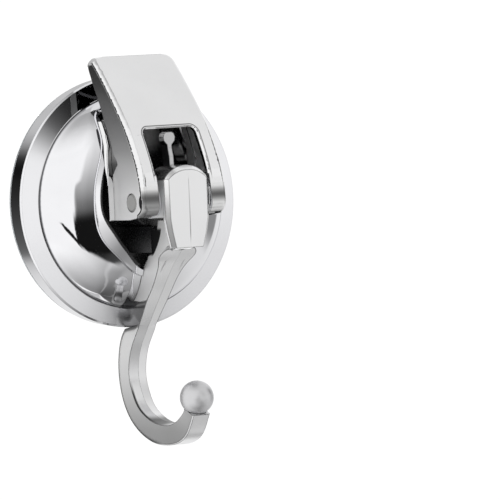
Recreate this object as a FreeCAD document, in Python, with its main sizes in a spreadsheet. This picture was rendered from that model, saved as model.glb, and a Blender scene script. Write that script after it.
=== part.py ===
import FreeCAD, Part
import os
from FreeCAD import Vector as V

os.makedirs("parts", exist_ok=True)
doc = FreeCAD.newDocument("suction_cup_hook")

# ---------------------------------------------------------------- sizes (mm)
sheet = doc.addObject("Spreadsheet::Sheet", "sizes")
SIZES = [
    ("disc_rad", 35.0, "outer radius of the cover"),
    ("rim_plane", 6.8, "rim front plane, forward of the wall"),
    ("skirt_back", 1.05, "back edge of the cover, forward of the wall"),
    ("shell_wall", 1.2, "wall of the cover"),
    ("skirt_taper", 0.35, "how much the skirt narrows towards the wall"),
    ("lip_rise", 0.7, "height of the lip round the opening"),
    ("pad_rad", 34.4, "radius of the suction pad"),
    ("stem_rad", 4.5, "radius of the pull stem"),
    ("anchor_rad", 11.0, "radius of the stem's anchor disc"),
    ("guide_play", 0.05, "radial play of stem in guide, lever on pin"),
    ("pin_fwd", 30.2, "pin axis, forward of the wall"),
    ("pin_rad", 2.5, "radius of the pivot pin"),
    ("pin_half", 13.9, "half length of the pivot pin"),
    ("spacer_rad", 4.6, "radius of a spacer"),
    ("spacer_in", 7.1, "inner face of a spacer"),
    ("spacer_thk", 0.8, "thickness of a spacer"),
    ("lever_half", 13.85, "half width of the lever at the pin"),
    ("lever_half_top", 13.4, "half width of the lever at its top"),
    ("lever_skin", 1.4, "wall of the lever"),
    ("window_half", 8.5, "half width of the lever's window"),
    ("window_top", 19.8, "top edge of the window"),
    ("head_half", 7.0, "half width of the hook's head"),
    ("web_half", 3.0, "half thickness of the hook's web"),
    ("ball_rad", 4.65, "radius of the ball tip"),
    ("ball_fwd", 36.4, "ball centre, forward of the wall"),
    ("ball_up", -54.0, "height of the ball's centre"),
    ("bore_core", 4.55, "radius of the guide bore"),
    ("pad_stop", 20.28, "bearing plane of the frame under the lever's cams"),
    ("screw_up", -11.2, "height of the hidden screw"),
    ("screw_rad", 1.28, "radius of the screw's shank"),
]
S = {}
for i, (alias, value, note) in enumerate(SIZES, 1):
    sheet.set("A%d" % i, str(value))
    sheet.setAlias("A%d" % i, alias)
    sheet.set("B%d" % i, note)
    S[alias] = value
doc.recompute()

BASE = S["rim_plane"]


def at(f):
    """forward distance from the rim's front plane to the row's y"""
    return -(f + BASE)


def offset_line(pts, d):
    """shifts an open polyline to its left by d"""
    out = []
    n = len(pts)
    for i in range(n):
        ax, ay = pts[max(i - 1, 0)]
        bx, by = pts[min(i + 1, n - 1)]
        tx, ty = bx - ax, by - ay
        m = (tx * tx + ty * ty) ** 0.5
        out.append((pts[i][0] - ty / m * d, pts[i][1] + tx / m * d))
    return out


def plane_of(body, role):
    for o in body.Origin.OriginFeatures:
        if o.Role == role:
            return o


def draw(sk, segs):
    """lines ('l'), three point arcs ('a'), splines ('s') and circles ('c') in sketch coordinates"""
    for s in segs:
        k, p = s[0], s[1:]
        if k == "l":
            for a, b in zip(p[:-1], p[1:]):
                sk.addGeometry(Part.LineSegment(V(a[0], a[1], 0), V(b[0], b[1], 0)), False)
        elif k == "a":
            sk.addGeometry(Part.Arc(V(p[0][0], p[0][1], 0), V(p[1][0], p[1][1], 0), V(p[2][0], p[2][1], 0)), False)
        elif k == "s":
            c = Part.BSplineCurve()
            c.interpolate([V(a[0], a[1], 0) for a in p])
            sk.addGeometry(c, False)
        elif k == "S":
            c = Part.BSplineCurve()
            c.interpolate([V(a[0], a[1], 0) for a in p], PeriodicFlag=True)
            sk.addGeometry(c, False)
        elif k == "c":
            sk.addGeometry(Part.Circle(V(p[0][0], p[0][1], 0), V(0, 0, 1), p[1]), False)


def new_body(name):
    b = doc.addObject("PartDesign::Body", name)
    return b


def sketch(body, name, role, segs, shift=0.0):
    sk = body.newObject("Sketcher::SketchObject", name)
    sk.AttachmentSupport = [(plane_of(body, role), "")]
    sk.MapMode = "FlatFace"
    if shift:
        sk.AttachmentOffset = FreeCAD.Placement(V(0, 0, shift), FreeCAD.Rotation())
    draw(sk, segs)
    doc.recompute()
    return sk


def spin(body, name, segs, kind="Revolution"):
    """turns a profile drawn as (radius, y) about the Y axis"""
    sk = sketch(body, name + "_sketch", "XY_Plane", segs)
    f = body.newObject("PartDesign::" + kind, name)
    f.Profile = sk
    f.ReferenceAxis = (sk, ["V_Axis"])
    f.Angle = 360.0
    sk.Visibility = False
    doc.recompute()
    return f


def pad_x(body, name, segs, length, kind="Pad"):
    """side profile drawn as (y, z), both ways along X"""
    sk = sketch(body, name + "_sketch", "YZ_Plane", segs)
    f = body.newObject("PartDesign::" + kind, name)
    f.Profile = sk
    if hasattr(f, "SideType"):
        f.SideType = "Symmetric"
    else:
        f.Midplane = True
    if isinstance(length, str):
        f.setExpression("Length", length)
    else:
        f.Length = length
    doc.recompute()
    return f


def pad_y(body, name, segs, start, length, kind="Pad"):
    """front profile drawn as (x, z), from `start` forward of the wall, over `length` forwards"""
    sk = sketch(body, name + "_sketch", "XZ_Plane", segs, start)
    f = body.newObject("PartDesign::" + kind, name)
    f.Profile = sk
    if isinstance(length, str):
        f.setExpression("Length", length)
    else:
        f.Length = length
    if kind == "Pocket":
        f.Reversed = True
    doc.recompute()
    return f


def box(x0, x1, z0, z1):
    return [("l", (x0, z0), (x1, z0), (x1, z1), (x0, z1), (x0, z0))]


def mirror_pts(pts):
    return [(-x, z) for x, z in reversed(pts)]


nodes = {}

# ------------------------------------------------------------------- cover
# dome line: radius, forward of the rim plane
DOME = [(29.67, 1.2), (28.95, 3.0), (27.4, 4.9), (25.9, 6.3), (24.6, 7.3), (22.4, 8.6), (18.0, 10.8), (12.0, 13.0), (6.0, 14.1), (0.0, 14.5)]
wall = S["shell_wall"]
dome_out = [(r, at(f)) for r, f in DOME]
dome_in = offset_line(dome_out, -wall)
dome_in[-1] = (0.0, dome_out[-1][1] + wall)
dome_in[0] = (28.35, at(0.25))
dome_lip = offset_line(dome_out, S["lip_rise"])


def dome_at(r):
    for (r0, f0), (r1, f1) in zip(DOME[:-1], DOME[1:]):
        if r1 <= r <= r0:
            return f0 + (f1 - f0) * (r0 - r) / (r0 - r1)
    return 0.0


R = S["disc_rad"]
back = -S["skirt_back"]
cover_body = new_body("cover_shell")
spin(cover_body, "shell", [
    ("l", (R - S["skirt_taper"], back), (R, -BASE + 0.45), (R - 0.45, -BASE), (29.95, at(1.05)), (29.67, at(1.2))),
    ("s", *dome_out),
    ("l", (0.0, dome_out[-1][1]), (0.0, dome_in[-1][1])),
    ("s", *reversed(dome_in)),
    ("l", dome_in[0], (R - wall - 0.35, -BASE + wall), (R - wall, -BASE + wall + 0.35), (R - wall, back), (R - S["skirt_taper"], back)),
])
# opening in the dome, and the outer line of its lip (left half, x and z)
CUT = [(0.0, 25.4), (-5.0, 25.5), (-9.6, 25.2), (-11.6, 23.4), (-12.1, 19.0), (-12.7, 15.1), (-13.9, 11.7), (-15.7, 6.6), (-16.6, 1.6), (-16.2, -3.0), (-14.9, -5.9),
       (-13.3, -8.3), (-11.2, -11.3), (-8.4, -14.6), (-5.9, -17.3), (-3.2, -18.9), (0.0, -19.5)]
LIP = [(0.0, 26.6), (-5.2, 26.7), (-10.4, 26.3), (-12.8, 24.2), (-13.4, 19.2), (-14.0, 15.4), (-15.2, 12.1), (-17.1, 6.9), (-18.0, 1.6), (-17.9, -3.6), (-17.0, -7.6),
       (-14.9, -11.2), (-11.8, -14.4), (-8.8, -17.2), (-6.0, -19.4), (-3.2, -20.6), (0.0, -21.1)]


def loop(half):
    return [("S", *(half + [(-x, z) for x, z in reversed(half[1:-1])]))]


lip_body = new_body("lip_band")
dome_low = offset_line(dome_out, -0.6)
spin(lip_body, "lip_skin", [
    ("l", *dome_low[1:-1]),
    ("l", dome_low[-2], dome_lip[-2]),
    ("s", *reversed(dome_lip[1:-1])),
    ("l", dome_lip[1], dome_low[1]),
])
ring_body = new_body("lip_ring")
pad_y(ring_body, "lip_outline", loop(LIP), BASE - 2.0, 24.0)
gap_body = new_body("lip_gap")
pad_y(gap_body, "web_gap", box(-3.1, 3.1, -23.0, -10.0), BASE - 2.0, 24.0)
lip_cut = doc.addObject("Part::Cut", "lip_cut")
lip_cut.Base, lip_cut.Tool = ring_body, gap_body
lip = doc.addObject("Part::MultiCommon", "lip")
lip.Shapes = [lip_body, lip_cut]
doc.recompute()
shell_lip = doc.addObject("Part::MultiFuse", "shell_lip")
shell_lip.Shapes = [cover_body, lip]
doc.recompute()
opening_body = new_body("opening_tool")
pad_y(opening_body, "opening", loop(CUT), BASE - 2.0, 24.0)
cover = doc.addObject("Part::Cut", "cover")
cover.Base, cover.Tool = shell_lip, opening_body
doc.recompute()
print("cover", cover.State, cover.Shape.isValid(), len(cover.Shape.Solids))
nodes["cover"] = cover

# ------------------------------------------------------------- inner frame
frame_body = new_body("frame_core")
bore = S["bore_core"]
spin(frame_body, "plate", [
    ("l", (bore, -5.3), (16.0, -5.3), (20.0, -3.2), (31.8, -3.2), (31.8, -1.1), (33.6, -1.1), (33.6, -5.45), (27.6, -5.45), (26.4, -7.6), (7.3, -7.6), (7.3, at(12.6)), (6.9, at(13.0)), (bore, at(13.0)), (bore, -5.3)),
])
pad_y(frame_body, "screw_boss", [("l", (-3.3, -14.2), (3.3, -14.2), (3.3, -7.0), (-3.3, -7.0), (-3.3, -14.2))], 7.0, BASE + 15.78 - 7.0)
for side, x0, x1 in (("left", -12.1, -8.7), ("right", 8.7, 12.1)):
    pad_y(frame_body, "bearing_" + side, [("l", (x0, 3.6), (x1, 3.6), (x1, 9.4), (x0, 9.4), (x0, 3.6))], 7.0, "sizes.pad_stop - 7")
# ribs that join the guide to the bearing blocks
for side, x0, x1 in (("left", -9.0, -5.6), ("right", 5.6, 9.0)):
    pad_y(frame_body, "rib_" + side, [("l", (x0, 4.2), (x1, 4.2), (x1, 6.0), (x0, 6.0), (x0, 4.2))], 7.0, BASE + 11.5 - 7.0)
pad_y(frame_body, "screw_well", [("c", (0.0, S["screw_up"]), 2.9)], 4.0, 11.0, "Pocket")
pad_y(frame_body, "screw_way", [("c", (0.0, S["screw_up"]), 1.35)], 4.0, 20.0, "Pocket")
# tub wall that closes the opening below the shell
def inset(half, d):
    full = half + [(-x, z) for x, z in reversed(half[1:-1])]
    n = len(full)
    out = []
    for i in range(n):
        ax, ay = full[i - 1]
        bx, by = full[(i + 1) % n]
        tx, ty = bx - ax, by - ay
        m = (tx * tx + ty * ty) ** 0.5
        out.append((full[i][0] - ty / m * d, full[i][1] + tx / m * d))
    return out


tub_body = new_body("tub_wall")
pad_y(tub_body, "tub_ring", [("S", *inset(CUT, 0.15)), ("S", *inset(CUT, 1.35))], 7.4, 16.0)
tub_cap = new_body("tub_cap")
low = [(r, y + 1.0) for r, y in dome_out]
spin(tub_cap, "tub_limit", [
    ("l", (0.0, -7.4), (low[0][0], -7.4), low[0]),
    ("l", *low),
    ("l", low[-1], (0.0, -7.4)),
])
tub = doc.addObject("Part::MultiCommon", "tub")
tub.Shapes = [tub_body, tub_cap]
tub_gap = new_body("tub_gap")
pad_y(tub_gap, "tub_web_gap", box(-3.15, 3.15, -22.0, -14.6), BASE + 6.5, 12.0)
inner_a = doc.addObject("Part::MultiFuse", "inner_a")
inner_a.Shapes = [frame_body, tub]
inner = doc.addObject("Part::Cut", "inner_frame")
inner.Base, inner.Tool = inner_a, tub_gap
doc.recompute()
nodes["inner_frame"] = inner

# -------------------------------------------------------------- pull stem
stem_body = new_body("stem_solid")
sr = S["stem_rad"]
pin_y = -S["pin_fwd"]
spin(stem_body, "stem_turned", [
    ("l", (0.0, -2.9), (S["anchor_rad"], -2.9), (S["anchor_rad"], -4.3), (sr, -4.3), (sr, pin_y), (0.0, pin_y), (0.0, -2.9)),
])
eye = pad_x(stem_body, "stem_eye", [
    ("a", (pin_y, sr), (pin_y - sr, 0.0), (pin_y, -sr)),
    ("l", (pin_y, -sr), (pin_y + 6.0, -sr), (pin_y + 6.0, sr), (pin_y, sr)),
], 9.0)
pad_x(stem_body, "eye_bore", [("c", (pin_y, 0.0), S["pin_rad"])], 20.0, "Pocket")
stem_body.Label = "pull_stem"
nodes["pull_stem"] = stem_body

# ------------------------------------------------------------- suction pad
pad_body = new_body("pad_solid")
pr = S["pad_rad"]
spin(pad_body, "pad_turned", [
    ("l", (22.0, 0.0), (pr, 0.0), (pr, -0.55), (pr - 0.5, -1.0), (27.0, -1.3), (19.5, -2.9), (15.2, -5.0), (sr, -5.0), (sr, -4.3), (S["anchor_rad"], -4.3), (S["anchor_rad"], -2.9), (0.0, -2.9), (0.0, -2.2)),
    ("s", (0.0, -2.2), (6.0, -2.15), (12.0, -1.8), (18.0, -0.75), (22.0, 0.0)),
])
for i, r in enumerate((24.5, 27.5, 30.5)):
    spin(pad_body, "seal_groove_%d" % i, [("l", (r, 0.01), (r + 0.5, -0.3), (r + 1.0, 0.01), (r, 0.01))], "Groove")
pad_body.Label = "suction_pad"
nodes["suction_pad"] = pad_body

# -------------------------------------------------------------- pivot pin
pin = doc.addObject("Part::Cylinder", "pin_shaft")
pin.setExpression("Radius", "sizes.pin_rad")
pin.setExpression("Height", "2 * sizes.pin_half")
pin.Placement = FreeCAD.Placement(V(-S["pin_half"], pin_y, 0), FreeCAD.Rotation(V(0, 1, 0), 90))
doc.recompute()
pin_ch = doc.addObject("Part::Chamfer", "pivot_pin")
pin_ch.Base = pin
pin_ch.Edges = [(i + 1, 0.35, 0.35) for i, e in enumerate(pin.Shape.Edges) if e.Closed and isinstance(e.Curve, Part.Circle)]
doc.recompute()
nodes["pivot_pin"] = pin_ch

# ---------------------------------------------------------------- spacers
for side, sx in (("left", -1), ("right", 1)):
    ring = doc.addObject("Part::Cylinder", "spacer_disc_" + side)
    ring.setExpression("Radius", "sizes.spacer_rad")
    ring.setExpression("Height", "sizes.spacer_thk")
    x0 = S["spacer_in"] if sx > 0 else -S["spacer_in"] - S["spacer_thk"]
    ring.Placement = FreeCAD.Placement(V(x0, pin_y, 0), FreeCAD.Rotation(V(0, 1, 0), 90))
    hole = doc.addObject("Part::Cylinder", "spacer_bore_" + side)
    hole.setExpression("Radius", "sizes.pin_rad + 0.02")
    hole.Height = 4.0
    hole.Placement = FreeCAD.Placement(V(x0 - 1.0, pin_y, 0), FreeCAD.Rotation(V(0, 1, 0), 90))
    sp = doc.addObject("Part::Cut", "spacer_" + side)
    sp.Base, sp.Tool = ring, hole
    doc.recompute()
    nodes["spacer_" + side] = sp

# ------------------------------------------------------------------ lever
# front line of the lever from its top to the foot (forward of the rim plane, height)
FRONT = [(5.7, 40.3), (9.3, 36.6), (13.1, 32.3), (19.1, 24.9), (22.7, 19.8), (25.8, 13.9), (28.0, 8.6), (29.1, 3.4), (29.4, -0.4)]
FOOT = [(29.4, -0.4), (28.8, -2.7), (26.8, -4.2)]
REAR = [(13.5, -4.75), (13.5, 4.1), (14.0, 7.8), (16.6, 10.7), (16.2, 13.2), (14.9, 17.3), (13.0, 21.2), (10.9, 25.2), (8.5, 29.2), (6.5, 32.0), (5.0, 34.5), (3.9, 36.9), (3.7, 38.6)]


def yz(pts):
    return [(at(f), z) for f, z in pts]


side_body = new_body("lever_side")
f_pts, r_pts = yz(FRONT), yz(REAR)
pad_x(side_body, "lever_side_pad", [
    ("s", *f_pts),
    ("a", *yz(FOOT)),
    ("l", yz([FOOT[-1]])[0], (at(22.0), -4.75), r_pts[0], r_pts[1], r_pts[2], r_pts[3]),
    ("s", *r_pts[3:]),
    ("l", r_pts[-1], (at(4.1), 39.9), f_pts[0]),
], 32.0)


def front_outline(half, half_top, top, cr):
    k = 0.7071
    return [
        ("l", (-half_top, top - cr), (-half, 4.0), (-half, -8.0), (half, -8.0), (half, 4.0), (half_top, top - cr)),
        ("a", (half_top, top - cr), (half_top - cr * (1 - k), top - cr * (1 - k)), (half_top - cr, top)),
        ("l", (half_top - cr, top), (-half_top + cr, top)),
        ("a", (-half_top + cr, top), (-half_top + cr * (1 - k), top - cr * (1 - k)), (-half_top, top - cr)),
    ]


lh, lt, skin = S["lever_half"], S["lever_half_top"], S["lever_skin"]
out_body = new_body("lever_outline")
pad_y(out_body, "lever_outline_pad", front_outline(lh, lt, 40.3, 3.0), BASE - 4.0, 40.0)
lever_outer = doc.addObject("Part::MultiCommon", "lever_outer")
lever_outer.Shapes = [side_body, out_body]
doc.recompute()

# soft edge where the front plate turns into the side walls and foot
edges = []
for i, e in enumerate(lever_outer.Shape.Edges):
    if e.Length < 1.0:
        continue
    on = True
    for t in (0.15, 0.5, 0.85):
        p = e.valueAt(e.FirstParameter + t * (e.LastParameter - e.FirstParameter))
        f, z = -p.y - BASE, p.z
        side_lim = lt + (lh - lt) * min(max((34.0 - z) / 30.0, 0), 1)
        best = min(abs(f - (a[0] + (b[0] - a[0]) * (z - a[1]) / (b[1] - a[1]))) for a, b in zip(FRONT[:-1], FRONT[1:]) if b[1] - 0.3 <= z <= a[1] + 0.3) if z > -0.5 else 9
        if not (abs(abs(p.x) - side_lim) < 0.25 and best < 0.35):
            on = False
    if on:
        edges.append(i + 1)
lever_soft = doc.addObject("Part::Fillet", "lever_soft")
lever_soft.Base = lever_outer
lever_soft.Edges = [(i, 1.8, 1.8) for i in edges]
doc.recompute()
soft_ok = edges and not lever_soft.Shape.isNull() and lever_soft.Shape.isValid()
print("soft edges", edges, soft_ok)
lever_base = lever_soft if soft_ok else lever_outer

# hollow behind the plate
inner_front = offset_line(f_pts, 1.6)
if abs(inner_front[4][0]) > abs(f_pts[4][0]):
    inner_front = offset_line(f_pts, -1.6)
hol_body = new_body("lever_hollow_side")
pad_x(hol_body, "hollow_side_pad", [
    ("s", *inner_front[1:]),
    ("l", inner_front[-1], (inner_front[-1][0], -9.0), (at(-6.0), -9.0), (at(-6.0), inner_front[1][1]), inner_front[1]),
], 30.0)
hol_out = new_body("lever_hollow_front")
pad_y(hol_out, "hollow_front_pad", front_outline(lh - skin, lt - skin, 38.9, 1.8), BASE - 6.0, 44.0)
lever_hollow = doc.addObject("Part::MultiCommon", "lever_hollow")
lever_hollow.Shapes = [hol_body, hol_out]
win_body = new_body("lever_window")
wh, wt = S["window_half"], S["window_top"]
pad_y(win_body, "window_pad", [
    ("l", (-wh, wt - 1.6), (-wh, -9.0), (wh, -9.0), (wh, wt - 1.6)),
    ("a", (wh, wt - 1.6), (wh - 0.47, wt - 0.47), (wh - 1.6, wt)),
    ("l", (wh - 1.6, wt), (-wh + 1.6, wt)),
    ("a", (-wh + 1.6, wt), (-wh + 0.47, wt - 0.47), (-wh, wt - 1.6)),
], BASE + 9.0, 40.0)
lever_cut1 = doc.addObject("Part::Cut", "lever_cut1")
lever_cut1.Base, lever_cut1.Tool = lever_base, lever_hollow
lever_cut2 = doc.addObject("Part::Cut", "lever_cut2")
lever_cut2.Base, lever_cut2.Tool = lever_cut1, win_body
# cams and bosses on the inside of the side walls, round the pin
cam_parts = []
CAM = [(13.5, 7.4), (13.5, 0.6), (15.2, -3.1), (16.4, -4.3), (24.4, -4.3), (27.6, -1.6), (27.8, 3.2), (24.0, 6.2), (18.6, 7.4)]
for side, x0 in (("left", -13.0), ("right", 8.0)):
    b = new_body("cam_" + side)
    sk = sketch(b, "cam_sketch_" + side, "YZ_Plane", [("l", *(yz(CAM) + yz(CAM[:1])))], x0)
    f = b.newObject("PartDesign::Pad", "cam_pad_" + side)
    f.Profile = sk
    f.Length = 5.0
    doc.recompute()
    cam_parts.append(b)
lever_fuse = doc.addObject("Part::MultiFuse", "lever_fuse")
lever_fuse.Shapes = [lever_cut2] + cam_parts
lever_bore = doc.addObject("Part::Cylinder", "lever_bore")
lever_bore.setExpression("Radius", "sizes.pin_rad + sizes.guide_play")
lever_bore.Height = 40.0
lever_bore.Placement = FreeCAD.Placement(V(-20.0, pin_y, 0), FreeCAD.Rotation(V(0, 1, 0), 90))
lever = doc.addObject("Part::Cut", "lever")
lever.Base, lever.Tool = lever_fuse, lever_bore
doc.recompute()
nodes["lever"] = lever

# ------------------------------------------------------------------- hook
hw = S["web_half"]
hook_parts = []


def section(p, q, half, name, ridge=0.55, ease=0.9, narrow=0.0):
    """one cross section: ridge point p, rear point q, half width, how much narrower the back is"""
    d = ((q[0] - p[0]) ** 2 + (q[1] - p[1]) ** 2) ** 0.5
    u = ((q[0] - p[0]) / d, (q[1] - p[1]) / d)
    e = min(ease, d * 0.3)

    def pt(x, s):
        return V(x, at(p[0] + u[0] * s), p[1] + u[1] * s)
    b = half - narrow
    pts = [pt(0, 0), pt(half, ridge), pt(b, d - e), pt(b - e, d), pt(-b + e, d), pt(-b, d - e), pt(-half, ridge)]
    o = doc.addObject("Part::Polygon", name)
    o.Nodes = pts
    o.Close = True
    return o


def loft(name, rows, ruled=False, **kw):
    secs = [section(p, q, w, "%s_%d" % (name, i), **kw) for i, (p, q, w) in enumerate(rows)]
    doc.recompute()
    o = doc.addObject("Part::Loft", name)
    o.Sections = secs
    o.Solid = True
    o.Ruled = ruled
    doc.recompute()
    return o


def back_of(p, d):
    return (p[0] - 0.739 * d, p[1] + 0.674 * d)


upper = []
for p, d, w in (((26.2, -13.6), 2.6, 4.4), ((25.0, -14.6), 2.6, 5.6), ((23.6, -15.8), 2.6, 5.8), ((22.2, -17.0), 2.6, 5.2), ((20.4, -18.8), 2.6, 4.35), ((18.5, -20.8), 2.6, 3.85),
                ((16.9, -22.7), 2.7, 3.6), ((13.8, -26.3), 2.8, 3.5), ((11.2, -29.3), 2.9, 3.35), ((8.7, -32.3), 3.0, 3.05), ((7.3, -34.0), 3.0, 2.93), ((5.7, -35.75), 3.0, 2.76)):
    upper.append((p, back_of(p, d), w))
hook_parts.append(loft("shank_plate", upper, narrow=1.6))
lower = [((7.0, -33.9), (-1.6, -35.4), 2.72), ((5.6, -36.2), (-3.3, -37.5), 2.85), ((2.7, -40.0), (-5.0, -41.2), 2.85), ((0.8, -44.3), (-5.8, -45.2), 2.85), ((0.3, -48.6), (-5.8, -49.4), 2.85),
         ((1.5, -52.8), (-4.5, -54.9), 2.85), ((3.9, -56.6), (-1.3, -60.2), 2.85), ((8.0, -59.3), (4.1, -64.4), 2.85), ((11.4, -60.5), (9.8, -66.6), 2.85), ((16.4, -61.2), (16.7, -67.3), 2.85),
         ((21.4, -60.6), (23.1, -66.5), 2.9), ((25.2, -58.6), (28.3, -63.6), 2.9), ((26.8, -56.6), (31.6, -58.7), 2.9)]
hook_parts.append(loft("hook_bow", lower, ease=0.35))
ball = doc.addObject("Part::Sphere", "hook_ball")
ball.setExpression("Radius", "sizes.ball_rad")
ball.Placement = FreeCAD.Placement(V(0, -S["ball_fwd"], S["ball_up"]), FreeCAD.Rotation())
hook_parts.append(ball)

# web and heel: the heel rests on the dome below the opening
heel = []
for z in (-18.0, -20.0, -22.0, -24.0, -25.5, -26.6, -27.6):
    r = (z * z + hw * hw) ** 0.5
    heel.append((dome_at(r) + 0.12, z))
web = [(29.6, -5.3), (19.3, -5.3), (18.6, -8.0), (15.8, -8.0), (15.8, -14.25), (13.6, -15.0), (12.6, -16.4)] + heel + \
      [(8.0, -27.8), (11.3, -27.4), (18.2, -20.4), (25.2, -13.8), (29.4, -12.4), (29.6, -5.3)]
web_body = new_body("hook_web")
pad_x(web_body, "hook_web_pad", [("l", *yz(web))], "2 * sizes.web_half")
hook_parts.append(web_body)

# head: shield with a centre ridge, bevelled edges and an arched top
HEAD = [(-13.0, 5.2, 4.3, 30.75), (-8.6, 6.35, 5.4, 31.0), (-5.0, 6.95, 6.0, 31.15), (0.0, 7.0, 6.1, 31.25), (5.6, 7.0, 6.1, 31.3), (12.0, 7.0, 6.1, 31.3)]
secs = []
for i, (z, w, wf, fr) in enumerate(HEAD):
    o = doc.addObject("Part::Polygon", "head_%d" % i)
    pts = [(0, fr), (wf, fr - 0.4), (w, fr - 1.5), (w, 28.4), (-w, 28.4), (-w, fr - 1.5), (-wf, fr - 0.4)]
    o.Nodes = [V(x, at(f), z) for x, f in pts]
    o.Close = True
    secs.append(o)
doc.recompute()
head_shield = doc.addObject("Part::Loft", "head_shield")
head_shield.Sections = secs
head_shield.Solid = True
head_shield.Ruled = True
hood_body = new_body("head_hood")
pad_y(hood_body, "head_hood_pad", box(-7.0, 7.0, -4.6, 12.0), BASE + 20.2, 8.6)
head_all = doc.addObject("Part::MultiFuse", "head_all")
head_all.Shapes = [head_shield, hood_body]
arch_body = new_body("head_arch")
ARCH = [(-7.2, 5.4), (-5.6, 7.5), (-3.0, 9.0), (0.0, 9.6), (3.0, 9.0), (5.6, 7.5), (7.2, 5.4)]
ARCH_IN = [(-7.2, 3.9), (-5.0, 6.4), (-2.7, 7.7), (0.0, 8.2), (2.7, 7.7), (5.0, 6.4), (7.2, 3.9)]


def arch_segs(a):
    return [("s", *a), ("l", a[-1], (8.0, a[-1][1] - 0.2), (8.0, -14.0), (-8.0, -14.0), (-8.0, a[0][1] - 0.2), a[0])]


pad_y(arch_body, "head_arch_pad", arch_segs(ARCH), BASE + 20.0, 9.9)
bevel_host = new_body("head_bevel_host")
bevel_a = sketch(bevel_host, "head_bevel_a", "XZ_Plane", arch_segs(ARCH), BASE + 29.9)
bevel_b = sketch(bevel_host, "head_bevel_b", "XZ_Plane", arch_segs(ARCH_IN), BASE + 31.4)
bevel = bevel_host.newObject("PartDesign::AdditiveLoft", "head_bevel")
bevel.Profile = bevel_a
bevel.Sections = [bevel_b]
bevel.Ruled = True
doc.recompute()
arch_all = doc.addObject("Part::MultiFuse", "arch_all")
arch_all.Shapes = [arch_body, bevel_host]
head_arched = doc.addObject("Part::MultiCommon", "head_arched")
head_arched.Shapes = [head_all, arch_all]
doc.recompute()
hook_parts.append(head_arched)

# finger behind the lever's window
finger_body = new_body("hook_finger")
FINGER = [(23.4, 5.3), (23.2, 12.0), (22.6, 14.4), (22.6, 16.0), (22.0, 18.0), (20.6, 18.7), (19.0, 18.0), (18.7, 16.2), (19.4, 14.4), (19.8, 9.0), (21.4, 7.4), (21.4, 5.3), (23.4, 5.3)]
pad_x(finger_body, "hook_finger_pad", [("l", *yz(FINGER))], 1.4)
hook_parts.append(finger_body)
knob_pts = [(0.0, 15.2), (0.7, 15.2), (1.7, 16.3), (1.9, 17.4), (1.5, 18.4), (0.8, 18.75), (0.0, 18.75)]
knob_pts = knob_pts + [(-x, z) for x, z in knob_pts[-2:0:-1]]
knob_body = new_body("hook_knob")
pad_y(knob_body, "hook_knob_pad", [("l", *knob_pts, knob_pts[0])], BASE + 20.2, 2.4)
hook_parts.append(knob_body)

hook_raw = doc.addObject("Part::MultiFuse", "hook_raw")
hook_raw.Shapes = hook_parts
doc.recompute()
# hollow of the head for the stem's eye, slots for the pin, hole for the screw
eye_room = new_body("eye_room")
pad_x(eye_room, "eye_room_pad", [("l", (at(17.0), -5.25), (at(28.4), -5.25), (at(28.4), 5.2), (at(17.0), 5.2), (at(17.0), -5.25))], 10.2)
pin_room = new_body("pin_room")
pad_x(pin_room, "pin_room_pad", [
    ("l", (at(17.0), 2.75), (pin_y, 2.75)),
    ("a", (pin_y, 2.75), (pin_y - 2.75, 0.0), (pin_y, -2.75)),
    ("l", (pin_y, -2.75), (at(17.0), -2.75), (at(17.0), 2.75)),
], 16.0)
screw_room = doc.addObject("Part::Cylinder", "screw_room")
screw_room.setExpression("Radius", "sizes.screw_rad + 0.01")
screw_room.Height = 8.0
screw_room.Placement = FreeCAD.Placement(V(0, at(14.0), S["screw_up"]), FreeCAD.Rotation(V(1, 0, 0), 90))
rooms = doc.addObject("Part::MultiFuse", "hook_rooms")
rooms.Shapes = [eye_room, pin_room, screw_room]
hook = doc.addObject("Part::Cut", "hook")
hook.Base, hook.Tool = hook_raw, rooms
doc.recompute()
nodes["hook"] = hook

# ------------------------------------------------------------ hidden screw
screw_body = new_body("screw_solid")
spin(screw_body, "screw_turned", [
    ("l", (0.0, -12.9), (2.4, -12.9), (2.7, -13.2), (2.7, -14.98), (S["screw_rad"], -14.98), (S["screw_rad"], -27.6), (0.7, -28.3), (0.0, -28.3), (0.0, -12.9)),
])
pad_y(screw_body, "screw_drive", [("l", (-0.35, -1.6), (0.35, -1.6), (0.35, -0.35), (1.6, -0.35), (1.6, 0.35), (0.35, 0.35), (0.35, 1.6), (-0.35, 1.6), (-0.35, 0.35), (-1.6, 0.35), (-1.6, -0.35), (-0.35, -0.35), (-0.35, -1.6))], 12.0, 1.9, "Pocket")
screw_body.Placement = FreeCAD.Placement(V(0, 0, S["screw_up"]), FreeCAD.Rotation())
screw_body.Label = "hook_screw"
doc.recompute()
nodes["hook_screw"] = screw_body

# ----------------------------------------------------------------- export
doc.recompute()
bad = [(o.Name, o.State) for o in doc.Objects if "Invalid" in o.State or "Error" in o.State]
print("bad objects:", bad)
for name, o in nodes.items():
    o.Label = name if o.Label != name else o.Label
    s = o.Shape
    assert not s.isNull() and s.isValid(), name
    assert len(s.Solids) == 1, (name, len(s.Solids))
    s.exportStep("parts/%s.step" % name)
    b = s.BoundBox
    print("%-13s vol %9.1f  X %.1f..%.1f  Y %.1f..%.1f  Z %.1f..%.1f faces %d" % (name, s.Volume, b.XMin, b.XMax, b.YMin, b.YMax, b.ZMin, b.ZMax, len(s.Faces)))
assert not bad
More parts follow.
